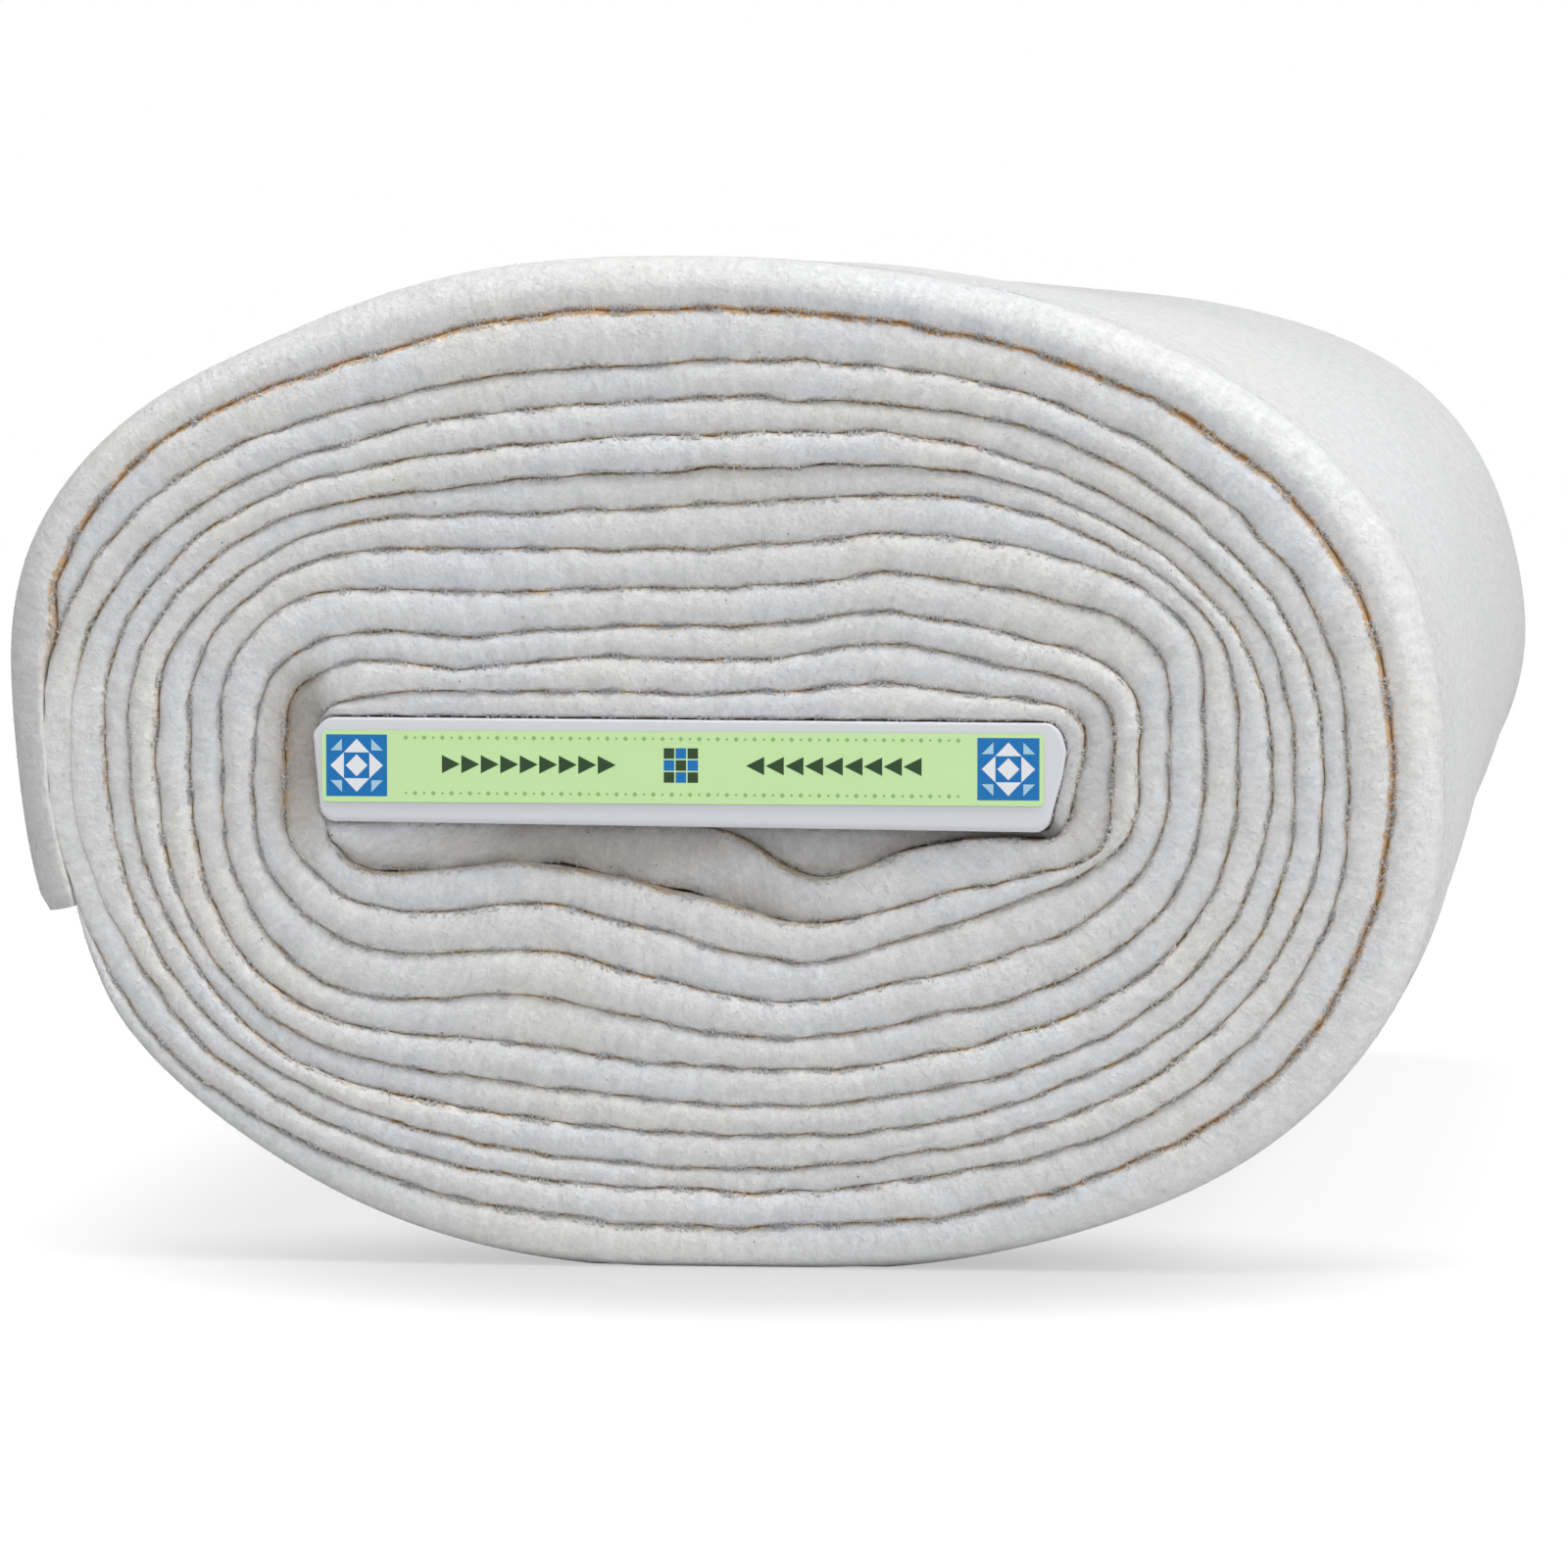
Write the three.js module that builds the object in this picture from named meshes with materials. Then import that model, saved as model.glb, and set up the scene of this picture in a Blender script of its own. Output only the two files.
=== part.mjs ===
// A bolt of quilt batting: one long strip of folded batting wound on a flat cardboard board.
// Its loose end hangs at the left, its inner end lies under the board, and a paper label is
// stuck on the board's front end.
// Millimetres, +Z up, +X to the right as seen from the front, the front end faces -Y, and the
// origin is at the bottom centre of the whole bolt.
import * as THREE from 'three';

// The strip of batting: its folded width lies along Y
const BATTING_WIDTH = 762;
const TURNS = 11.8175;
const LOOSE_END_DIRECTION = 248.3;
const STATIONS_PER_TURN = 44;

// Share of a layer's thickness that stays open between two turns
const OPEN_SHARE = 0.13;

// A layer's end is a soft fold: its two edges lie this far behind its flat crown, and the crown
// spans the middle of the thickness between these shares
const FOLD_SETBACK = 4;
const CROWN_START = 0.28;
const CROWN_END = 0.72;

// The loose end is pinched to this share of its thickness
const LOOSE_END_SHARE = 0.6;

// The round underside is pressed flat by this much where it rests
const FLAT_SPOT_RISE = 1.6;

// The winding at every second turn, from the rim (turn 0) to the board (turn 12). left, right, up
// and down are the distances from the board's middle, and lift is how far the left flank rises.
// The second line of a row gives how square each quarter is: 2 is an ellipse, more is squarer.
const LEVELS = [
  { left: 199, right: 221, up: 153.5, down: 155.5, lift: 22,
    upLeft: 2.1, upRight: 2.25, downRight: 2.4, downLeft: 2.3 },
  { left: 188.5, right: 192, up: 121, down: 127, lift: 19,
    upLeft: 1.95, upRight: 2.3, downRight: 2.4, downLeft: 2.55 },
  { left: 171, right: 175, up: 98.5, down: 110.5, lift: 17,
    upLeft: 2, upRight: 2.4, downRight: 2.35, downLeft: 2.7 },
  { left: 156, right: 160, up: 78.5, down: 92, lift: 15,
    upLeft: 2.1, upRight: 2.9, downRight: 2.4, downLeft: 3.1 },
  { left: 137, right: 140, up: 55.5, down: 70, lift: 11,
    upLeft: 2.7, upRight: 5.2, downRight: 2.6, downLeft: 4 },
  { left: 119.2, right: 123.5, up: 35, down: 45, lift: 5,
    upLeft: 3.8, upRight: 4.6, downRight: 2.9, downLeft: 3.9 },
  { left: 111.8, right: 109.5, up: 17.8, down: 18.5, lift: 0,
    upLeft: 9, upRight: 8, downRight: 8, downLeft: 7 },
];
const TURNS_PER_LEVEL = 2;
const CORE_TURN = 12;

// Waves that sag or lift the layers around one place, x across and z up from the board's middle,
// fading out over wide and tall
const WAVES = [
  // The crest over the board's right half, and the broad swell above it
  { x: 54, z: 36, wide: 24, tall: 26, rise: 4.5 },
  { x: 75, z: 78, wide: 50, tall: 30, rise: 6 },
  // The sag under the board, and the crest to its left
  { x: 30, z: -40, wide: 26, tall: 36, rise: -6 },
  { x: -46, z: -50, wide: 32, tall: 36, rise: 8.5 },
  // The loose loop of the inner end, and the rise beside it
  { x: 38, z: -24, wide: 27, tall: 10, rise: -7.5 },
  { x: 92, z: -32, wide: 26, tall: 11, rise: 4 },
  // The full upper left shoulder, the dip over the board there, and the full lower left
  { x: -112, z: 62, wide: 40, tall: 26, rise: 4.5 },
  { x: -66, z: 38, wide: 26, tall: 13, rise: -5.5 },
  { x: -112, z: -62, wide: 40, tall: 26, rise: -4.5 },
  // The outermost layers, a little lower at the upper left
  { x: -112, z: 127, wide: 42, tall: 22, rise: -3 },
];

// The waves die out over this part of a turn next to the board
const WAVE_FADE_TURNS = 0.25;

// The board's end outline, x across and z up from its middle, clockwise from the upper left
const BOARD_OUTLINE = [
  { x: -109.1, z: 11.4 },
  { x: -105, z: 15.6 },
  { x: 102, z: 15 },
  { x: 104.8, z: 12.4 },
  { x: 106.3, z: 7 },
  { x: 105.2, z: 0 },
  { x: 101.4, z: -13.6 },
  { x: 99.2, z: -15.8 },
  { x: -104.4, z: -14 },
  { x: -106.9, z: -11.8 },
];
const BOARD_BEVEL = 0.8;
const BOARD_LENGTH = 764;

// The board stands this far out of the front end
const BOARD_PROUD = 2.4;

// The label on the board's front end, its middle seen from the board's middle
const LABEL = { width: 206.5, height: 20.4, thickness: 0.4, corner: 1.6, x: -3, z: 1.9 };
const PAPER_GAP = 0.3;

const COLOURS = {
  batting: { color: 0xe6e4df, roughness: 0.96, metalness: 0 },
  board: { color: 0xe2e2ea, roughness: 0.6, metalness: 0 },
  label: { color: 0xbfe09a, roughness: 0.5, metalness: 0 },
};

// A level's values at any turn: a smooth curve through the rows, level by level
function levelAt(turn) {
  const place = Math.min(Math.max(turn, 0), CORE_TURN) / TURNS_PER_LEVEL;
  const index = Math.min(Math.floor(place), LEVELS.length - 2);
  const u = place - index;
  const row = {};
  for (const name of Object.keys(LEVELS[0])) {
    const before = LEVELS[Math.max(index - 1, 0)][name];
    const start = LEVELS[index][name];
    const end = LEVELS[index + 1][name];
    const after = LEVELS[Math.min(index + 2, LEVELS.length - 1)][name];
    const startSlope = (end - before) / (index > 0 ? 2 : 1);
    const endSlope = (after - start) / (index + 2 < LEVELS.length ? 2 : 1);
    row[name] = (2 * u ** 3 - 3 * u ** 2 + 1) * start
      + (u ** 3 - 2 * u ** 2 + u) * startSlope
      + (3 * u ** 2 - 2 * u ** 3) * end
      + (u ** 3 - u ** 2) * endSlope;
  }
  return row;
}

// The height that the waves add at a place
function waveRise(x, z) {
  let rise = 0;
  for (const wave of WAVES) {
    rise += wave.rise * Math.exp(-(((x - wave.x) / wave.wide) ** 2) - ((z - wave.z) / wave.tall) ** 2);
  }
  return rise;
}

// A point of the winding, seen from the board's middle: direction in degrees clockwise from the
// top, turn counted from the rim inwards
function windingPoint(direction, turn) {
  const level = levelAt(turn);
  const across = Math.sin(THREE.MathUtils.degToRad(direction));
  const upward = Math.cos(THREE.MathUtils.degToRad(direction));
  const isRight = across >= 0;
  const isUp = upward >= 0;
  const power = level[(isUp ? 'up' : 'down') + (isRight ? 'Right' : 'Left')];
  const reach = (Math.abs(across) ** power + Math.abs(upward) ** power) ** (-1 / power);
  const x = (isRight ? level.right : level.left) * reach * across;
  const leftShare = isRight ? 0 : (x / level.left) ** 2;
  const z = (isUp ? level.up : level.down) * reach * upward + level.lift * leftShare;
  const fade = Math.min(Math.max((CORE_TURN - turn) / WAVE_FADE_TURNS, 0), 1);
  return new THREE.Vector2(x, z + fade * waveRise(x, z));
}

// The strip's outer and inner face at each station along its winding
function stripStations() {
  const count = Math.round(TURNS * STATIONS_PER_TURN);
  const stations = [];
  for (let step = 0; step <= count; step += 1) {
    const turn = (TURNS * step) / count;
    const direction = LOOSE_END_DIRECTION + 360 * turn;
    const outer = windingPoint(direction, turn + OPEN_SHARE / 2);
    const inner = windingPoint(direction, turn + 1 - OPEN_SHARE / 2);
    stations.push({ outer, inner });
  }
  const looseEnd = stations[0];
  const middle = looseEnd.outer.clone().lerp(looseEnd.inner, 0.5);
  looseEnd.outer = middle.clone().lerp(looseEnd.outer, LOOSE_END_SHARE);
  looseEnd.inner = middle.clone().lerp(looseEnd.inner, LOOSE_END_SHARE);
  return stations;
}

// The height of the flat spot, seen from the board's middle
function restingHeight(stations) {
  return Math.min(...stations.map((station) => station.outer.y)) + FLAT_SPOT_RISE;
}

// The strip as one closed body: a ring of eight points round the layer at each station, joined
// to the next ring, with a flat cap at both ends of the strip
function battingGeometry() {
  const stations = stripStations();
  const floor = restingHeight(stations);
  const end = BATTING_WIDTH / 2;
  const ring = [
    { share: 0, y: -end + FOLD_SETBACK },
    { share: CROWN_START, y: -end },
    { share: CROWN_END, y: -end },
    { share: 1, y: -end + FOLD_SETBACK },
    { share: 1, y: end - FOLD_SETBACK },
    { share: CROWN_END, y: end },
    { share: CROWN_START, y: end },
    { share: 0, y: end - FOLD_SETBACK },
  ];
  const positions = [];
  for (const station of stations) {
    for (const corner of ring) {
      const point = station.outer.clone().lerp(station.inner, corner.share);
      positions.push(point.x, corner.y, Math.max(point.y, floor));
    }
  }
  const indices = [];
  const size = ring.length;
  for (let step = 0; step + 1 < stations.length; step += 1) {
    for (let corner = 0; corner < size; corner += 1) {
      const here = step * size + corner;
      const beside = step * size + ((corner + 1) % size);
      indices.push(here, beside, here + size, beside, beside + size, here + size);
    }
  }
  const last = (stations.length - 1) * size;
  for (let corner = 1; corner + 1 < size; corner += 1) {
    indices.push(0, corner + 1, corner);
    indices.push(last, last + corner, last + corner + 1);
  }
  const geometry = new THREE.BufferGeometry();
  geometry.setAttribute('position', new THREE.Float32BufferAttribute(positions, 3));
  geometry.setIndex(indices);
  geometry.computeVertexNormals();
  return geometry;
}

// An outline drawn in X and Z and carried along Y from its front towards the back
function extrudeAlongY(outline, depth, options) {
  const geometry = new THREE.ExtrudeGeometry(outline, { depth, steps: 1, ...options });
  geometry.rotateX(Math.PI / 2);
  geometry.translate(0, depth, 0);
  return geometry;
}

function boardGeometry() {
  const outline = new THREE.Shape(BOARD_OUTLINE.map((corner) => new THREE.Vector2(corner.x, corner.z)));
  return extrudeAlongY(outline, BOARD_LENGTH - 2 * BOARD_BEVEL, {
    bevelEnabled: true,
    bevelThickness: BOARD_BEVEL,
    bevelSize: BOARD_BEVEL,
    bevelOffset: -BOARD_BEVEL,
    bevelSegments: 1,
  });
}

function labelGeometry() {
  const { width, height, corner } = LABEL;
  const outline = new THREE.Shape();
  outline.moveTo(-width / 2 + corner, -height / 2);
  outline.lineTo(width / 2 - corner, -height / 2);
  outline.absarc(width / 2 - corner, -height / 2 + corner, corner, -Math.PI / 2, 0);
  outline.lineTo(width / 2, height / 2 - corner);
  outline.absarc(width / 2 - corner, height / 2 - corner, corner, 0, Math.PI / 2);
  outline.lineTo(-width / 2 + corner, height / 2);
  outline.absarc(-width / 2 + corner, height / 2 - corner, corner, Math.PI / 2, Math.PI);
  outline.lineTo(-width / 2, -height / 2 + corner);
  outline.absarc(-width / 2 + corner, -height / 2 + corner, corner, Math.PI, 1.5 * Math.PI);
  return extrudeAlongY(outline, LABEL.thickness, { bevelEnabled: false, curveSegments: 3 });
}

function namedMesh(name, geometry) {
  const mesh = new THREE.Mesh(geometry, new THREE.MeshStandardMaterial(COLOURS[name]));
  mesh.name = name;
  return mesh;
}

function buildBolt() {
  const batting = namedMesh('batting', battingGeometry());
  const board = namedMesh('board', boardGeometry());
  const boardFront = -BATTING_WIDTH / 2 - BOARD_PROUD;
  board.position.y = boardFront + BOARD_BEVEL;
  const label = namedMesh('label', labelGeometry());
  label.position.set(LABEL.x, boardFront - PAPER_GAP - LABEL.thickness, LABEL.z);
  const bolt = new THREE.Group();
  bolt.add(batting, board, label);
  const box = new THREE.Box3().setFromObject(bolt);
  const middle = box.getCenter(new THREE.Vector3());
  bolt.position.set(-middle.x, -middle.y, -box.min.z);
  return bolt;
}

const part = new THREE.Group();
part.add(buildBolt());

export default part;
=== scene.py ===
import bpy
import numpy as np
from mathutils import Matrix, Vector


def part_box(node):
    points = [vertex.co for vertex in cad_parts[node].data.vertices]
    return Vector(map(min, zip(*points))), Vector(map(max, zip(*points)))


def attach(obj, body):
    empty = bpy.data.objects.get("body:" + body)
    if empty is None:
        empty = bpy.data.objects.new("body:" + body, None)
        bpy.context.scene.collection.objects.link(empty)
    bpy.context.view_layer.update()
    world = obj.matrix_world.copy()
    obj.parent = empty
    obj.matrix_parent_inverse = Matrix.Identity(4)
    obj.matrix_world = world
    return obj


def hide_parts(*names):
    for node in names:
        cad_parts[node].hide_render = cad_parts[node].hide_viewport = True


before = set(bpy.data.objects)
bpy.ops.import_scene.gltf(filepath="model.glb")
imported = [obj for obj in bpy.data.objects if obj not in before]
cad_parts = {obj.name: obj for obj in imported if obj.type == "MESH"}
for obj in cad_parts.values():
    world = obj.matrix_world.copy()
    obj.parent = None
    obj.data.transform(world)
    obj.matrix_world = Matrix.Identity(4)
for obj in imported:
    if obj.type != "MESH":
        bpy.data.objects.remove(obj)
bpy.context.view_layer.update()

MM = 0.001

# The board's end outline, in millimetres from its middle, clockwise from the upper left
BOARD_OUTLINE = np.array([
    (-109.1, 11.4),
    (-105.0, 15.6),
    (102.0, 15.0),
    (104.8, 12.4),
    (106.3, 7.0),
    (105.2, 0.0),
    (101.4, -13.6),
    (99.2, -15.8),
    (-104.4, -14.0),
    (-106.9, -11.8),
])

# Where the solids lie: the board's middle in X and Z, and both ends of the strip in Y
BOARD_LOW, BOARD_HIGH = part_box("board")
BATTING_LOW, BATTING_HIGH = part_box("batting")
LABEL_LOW, LABEL_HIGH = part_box("label")
CORE_X = BOARD_LOW[0] - BOARD_OUTLINE[:, 0].min() * MM
CORE_Z = BOARD_HIGH[2] - BOARD_OUTLINE[:, 1].max() * MM
FRONT_Y = BATTING_LOW[1]
BACK_Y = BATTING_HIGH[1]

# The winding, as it is in the solids, from the rim (turn 0) to the board (turn 12), in
# millimetres from the board's middle; the last four columns say how square each quarter is
LEVEL_COLUMNS = ("left", "right", "up", "down", "lift", "up_left", "up_right", "down_right", "down_left")
LEVELS = np.array([
    (199.0, 221.0, 153.5, 155.5, 22, 2.1, 2.25, 2.4, 2.3),
    (188.5, 192.0, 121.0, 127.0, 19, 1.95, 2.3, 2.4, 2.55),
    (171.0, 175.0, 98.5, 110.5, 17, 2.0, 2.4, 2.35, 2.7),
    (156.0, 160.0, 78.5, 92.0, 15, 2.1, 2.9, 2.4, 3.1),
    (137.0, 140.0, 55.5, 70.0, 11, 2.7, 5.2, 2.6, 4.0),
    (119.2, 123.5, 35.0, 45.0, 5, 3.8, 4.6, 2.9, 3.9),
    (111.8, 109.5, 17.8, 18.5, 0, 9.0, 8.0, 8.0, 7.0),
])
TURNS_PER_LEVEL = 2
CORE_TURN = 12.0
TURNS = 11.8175
LOOSE_END_DIRECTION = 248.3

# Waves of the layers around one place: x, z, wide, tall, rise
WAVES = np.array([
    (54, 36, 24, 26, 4.5),
    (75, 78, 50, 30, 6.0),
    (30, -40, 26, 36, -6.0),
    (-46, -50, 32, 36, 8.5),
    (38, -24, 27, 10, -7.5),
    (92, -32, 26, 11, 4.0),
    (-112, 62, 40, 26, 4.5),
    (-66, 38, 26, 13, -5.5),
    (-112, -62, 40, 26, -4.5),
    (-112, 127, 42, 22, -3.0),
])
WAVE_FADE_TURNS = 0.25

# The innermost layers close in on the board from this turn, and keep this far off it
HUG_TURN = 11.0
HUG_GAP = 0.4
CORNER_POWER = 150

# The strip's inner end thins out between these turns
TAPER_START = 11.75
TAPER_END = 11.83

# Layers are squeezed over these turns: the second one behind the loose end, and the innermost one
# between the board's left edge and the next layer
SQUEEZES = ((0.955, 1.01, 1.08, 1.106), (10.93, 10.97, 11.15, 11.22))
SQUEEZED = 0.5 * MM

# The strip's ends lie back over these turns and this far: behind the loose end, and beside the
# board's left edge and under it
LAID_BACK = (
    (0.97, 1.005, 1.085, 1.105, 3 * MM),
    (9.97, 10.03, 10.12, 10.2, 5 * MM),
    (10.74, 10.81, 10.9, 10.96, 11 * MM),
    (11.64, 11.70, 11.9, 12.0, 16 * MM),
)

# Where a face is fuller or slacker: turn, spread in turns, and how far it stands out at the front
# end and at the far end, in millimetres. The first is the loose end's full shoulder, the last is
# the crease above it, and those at the far end go on into the layers inside.
SWELLS = (
    (0.085, 0.050, 3.6, 3.6),
    (-0.005, 0.030, 2.0, 2.0),
    (0.190, 0.030, -1.0, -1.0),
    (0.350, 0.025, -1.4, -1.4),
    (0.432, 0.058, 0.0, 10.0),
    (1.432, 0.058, 0.0, 5.0),
    (0.615, 0.045, 0.0, -15.0),
    (1.615, 0.050, 0.0, -10.0),
    (2.615, 0.055, 0.0, -5.0),
    (0.640, 0.060, 2.2, 0.0),
    (1.110, 0.025, -2.2, -2.2),
)

# The loose end's tip, in turns: how far it reaches beyond the strip's start at its outer face and
# how much more at its inner face, over how much of the strip, and how far it is rounded by how much
TIP_REACH = 0.0018
TIP_SLANT = 0.0045
TIP_STRIP = 0.03
TIP_TURNS = 0.003
TIP_ROUND = 1.2 * MM

# The three outermost gaps nearly close at the left, over this part of a turn: the folds are
# shallower there and the painted crease shade fainter, by these shares
SOFT_TURNS = (1, 2, 3)
SOFT_MEETING = (-0.04, 0.0, 0.06, 0.09)
SOFT_SHALLOWER = 0.7
SOFT_FAINTER = 0.92

# How a face between two layers wavers: depth, wavelength in metres and seed of each field. The
# outermost face undulates more softly and deeply and lies a little lower, and next to the board
# the wavers fade. Y counts by a share, so they are drawn out along the bolt.
WAVERS = ((0.4 * MM, 0.02, 11), (0.7 * MM, 0.08, 12), (0.18 * MM, 0.008, 13))
OUTER_WAVERS = ((0.8 * MM, 0.12, 21), (1.1 * MM, 0.3, 22))
OUTER_SINK = 0.6 * MM
OUTER_FADE = (0.98, 1.04)
CORE_FADE = (11.6, 11.95)
WAVER_ALONG_Y = 0.6

# How unevenly the strip's ends lie: this far inside the solid's end and up to about twice the
# wander further, in long waves that change from turn to turn
END_INSET = 0.6 * MM
END_WANDER = 1.1 * MM
END_WAVELENGTH = 0.22
END_TURN_STEP = 0.35

# How finely the strip is made
FINE_TURN = 1.02
FINE_STEP = 5.0 * MM
STEP = 3.0 * MM
FRONT_POINTS = 11
BACK_POINTS = 7
SIDE_POINTS = 2
FINE_SIDE_POINTS = 90

# The strip's folds at both ends: their depth is a share of the thickness; they are round by a
# share of the depth, and turn in near the gaps by a high power. The rim's outer side is a deeper
# quarter oval of its own power, and so is the loose end's. The fades are where these end, in turns.
GAP = 0.06 * MM
FOLD_SHARE = 0.30
FOLD_MOST = 2.8 * MM
FOLD_LEAST = 0.9 * MM
FOLD_ROUND = 0.62
FOLD_POWER = 7.0
RIM_SHARE = 0.85
RIM_MOST = 13 * MM
RIM_POWER = 2.1
RIM_FADE = (0.93, 1.0)
# The painted crease shade leaves the rim's outer face over these turns
RIM_SHADE_FADE = (0.98, 1.0)
LOOSE_FOLD = 16 * MM
LOOSE_POWER = 1.3
LOOSE_FADE = (0.06, 0.15)

# A fold's crown is halfway across the layer, further in on the rim and most at the loose end
CROWN = 0.5
RIM_CROWN = 0.12
LOOSE_CROWN = 0.33

# The gaps are open more in some places than in others, by this share of the folds' depth
SLACK = 0.4
SLACK_WAVELENGTH = 0.016

# Loose fibres on the folds: how many tufts lean over the gaps and how many fibres each has, how
# many single ones lie on the folds and on the rim, and their thickness
TUFTS = 9400
TUFT_FIBRES = 5
FACE_FIBRES = 26000
RIM_FIBRES = 14000
FAR_TUFTS = 2400
FAR_FACE_FIBRES = 8000
TUFT_FIBRE_RADIUS = 0.16 * MM
FACE_FIBRE_RADIUS = 0.06 * MM
RIM_FIBRE_RADIUS = 0.04 * MM
SEED_SPECKS = 90

# Where they have their roots: over these turns, and these shares of the thickness
FIBRE_TURNS = (0.004, TURNS - 0.03)
TUFT_SHARES = (0.02, 0.12)
FACE_SHARES = (0.02, 0.94)

# A tuft's fibres stand this close together. Tufts are crowded by a field of this wavelength, less
# evenly by the scatter, and sparser by the thinning where layers meet softly.
TUFT_SPREAD = 0.35 * MM
CLUMP_WAVELENGTH = 0.012
CLUMP_SCATTER = 0.7
CLUMP_THINNING = 4

# How the fibres lie, as ranges: how much longer or shorter a whole tuft is, how far fibres reach
# over the gap and out, their lengths in millimetres, and how much thicker or thinner they are. The
# two leans are how unevenly whole tufts, and the fibres of one, lean along the gap.
TUFT_FULLNESS = (0.5, 1.1)
TUFT_ACROSS = (0.6, 1.0)
TUFT_OUT = (0.15, 0.7)
TUFT_LEAN = 0.5
TUFT_FIBRE_LEAN = 0.3
TUFT_LENGTHS = (1.0, 2.3)
TUFT_THICKNESS = (0.5, 1.4)
FACE_OUT = (0.06, 0.5)
FACE_LENGTHS = (0.8, 2.6)
RIM_OUT = (0.0, 0.16)
RIM_LENGTHS = (0.6, 2.0)
SINGLE_THICKNESS = (0.5, 1.5)

# Fibres on the rim's outer face stand over these turns, start this far behind the front end, thin
# out over this length, and keep this far above the floor
RIM_FIBRE_TURNS = (0.01, 0.99)
RIM_FIBRE_START = LOOSE_FOLD + 4 * MM
RIM_FIBRE_LENGTH = 60 * MM
RIM_FIBRE_LOWEST = 0.4 * MM

# Seed specks: radius in millimetres, and how far each corner is drawn out
SPECK_SIZES = (0.10, 0.32)
SPECK_STRETCH = (0.5, 1.5)

# The board: how softly its outline and its end edges are rounded, with the roundness turning from
# the top's to the bottom's by how far an edge faces down, and the flat margin inside the edges
CARD_STEP = 1.0 * MM
CARD_ROUNDING = 1
CARD_EDGE_TOP = 0.6 * MM
CARD_EDGE_BOTTOM = 1.7 * MM
CARD_EDGE_FADE = (-0.3, 0.9)
CARD_EDGE_RINGS = 6
CARD_MARGIN = 0.4 * MM

# The label's print stands this little out of the paper
INK = 0.03 * MM

# The label's design, in millimetres from its middle: a star at both ends, flying geese, a
# nine-patch and two rows of diamonds. A star's inner half width and its points' reach are shares
# of its size, and where its kites start and how wide its heart is are shares of that inner part.
STAR_X = 93.2
STAR_Z = 0.2
STAR_SIZE = 17.6
STAR_INNER = 0.21
STAR_REACH = 0.43
KITE_START = 1.15
STAR_HEART = 1.7
MIDDLE_ROW_Z = 0.7
GEESE = 9
GEESE_START = 66
GEESE_STEP = 5.6
GOOSE_SIZE = 2.6
PATCH_STEP = 3.4
PATCH_SIZE = 3.0
DIAMONDS = 61
DIAMOND_START = 79
DIAMOND_STEP = 2.633
DIAMOND_ROWS = ((-7.6, (0.9, 1.5)), (8.2, (1.5, 0.9)))

# The photograph's view
IMAGE_SIZE = 1600
SENSOR = 36.0
FOCAL_PIXELS = 8223.0
CAMERA_DISTANCE = 2.286
CAMERA_YAW = 7.15
CAMERA_PITCH = 2.92
CORE_PIXEL = (707, 790)


def smooth(low, high, value):
    """0 below low, 1 above high, and a smooth S between."""
    share = np.clip((value - low) / (high - low), 0, 1)
    return share * share * (3 - 2 * share)


def ripple(places, wavelength, seed, waves=28):
    """A smooth random field from about -1 to 1: the mean of many sine waves of one wavelength
    and a little more or less, each running in its own direction with its own phase."""
    draw = np.random.default_rng(seed)
    places = np.atleast_2d(places)
    size = places.shape[-1]
    heading = draw.normal(size=(waves, size))
    heading /= np.linalg.norm(heading, axis=1, keepdims=True)
    rate = 2 * np.pi / (wavelength * draw.uniform(0.75, 1.5, waves))
    phase = draw.uniform(0, 2 * np.pi, waves)
    total = np.zeros(places.shape[:-1])
    for line in range(waves):
        total += np.sin(places @ heading[line] * rate[line] + phase[line])
    return total / np.sqrt(waves) / 1.2


def unit(vectors):
    """Each vector at length 1."""
    return vectors / np.linalg.norm(vectors, axis=-1, keepdims=True)


def level_values(turn):
    """Each column of the levels at any turn: a cubic through the rows with the mean of its
    neighbours' slopes at each row."""
    place = np.clip(turn, 0, CORE_TURN) / TURNS_PER_LEVEL
    row = np.minimum(place.astype(int), len(LEVELS) - 2)
    u = (place - row)[..., None]
    slope = np.gradient(LEVELS, axis=0)
    value = (
        (2 * u**3 - 3 * u**2 + 1) * LEVELS[row]
        + (u**3 - 2 * u**2 + u) * slope[row]
        + (3 * u**2 - 2 * u**3) * LEVELS[row + 1]
        + (u**3 - u**2) * slope[row + 1]
    )
    return dict(zip(LEVEL_COLUMNS, np.moveaxis(value, -1, 0)))


def board_curve(heading):
    """X and Z just off the board along unit headings from its middle, in millimetres: each edge,
    let out by the gap, is met at its own reach, and a steep power mean of one over those reaches
    takes the nearest and rounds the corners a little."""
    along = np.roll(BOARD_OUTLINE, -1, axis=0) - BOARD_OUTLINE
    normal = unit(np.stack([-along[:, 1], along[:, 0]], axis=-1))
    offset = (normal * BOARD_OUTLINE).sum(axis=-1) + HUG_GAP
    nearness = np.maximum(heading @ normal.T, 0) / offset
    most = nearness.max(axis=-1, keepdims=True)
    mean = most * ((nearness / most) ** CORNER_POWER).sum(axis=-1, keepdims=True) ** (1 / CORNER_POWER)
    return heading / mean


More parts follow.
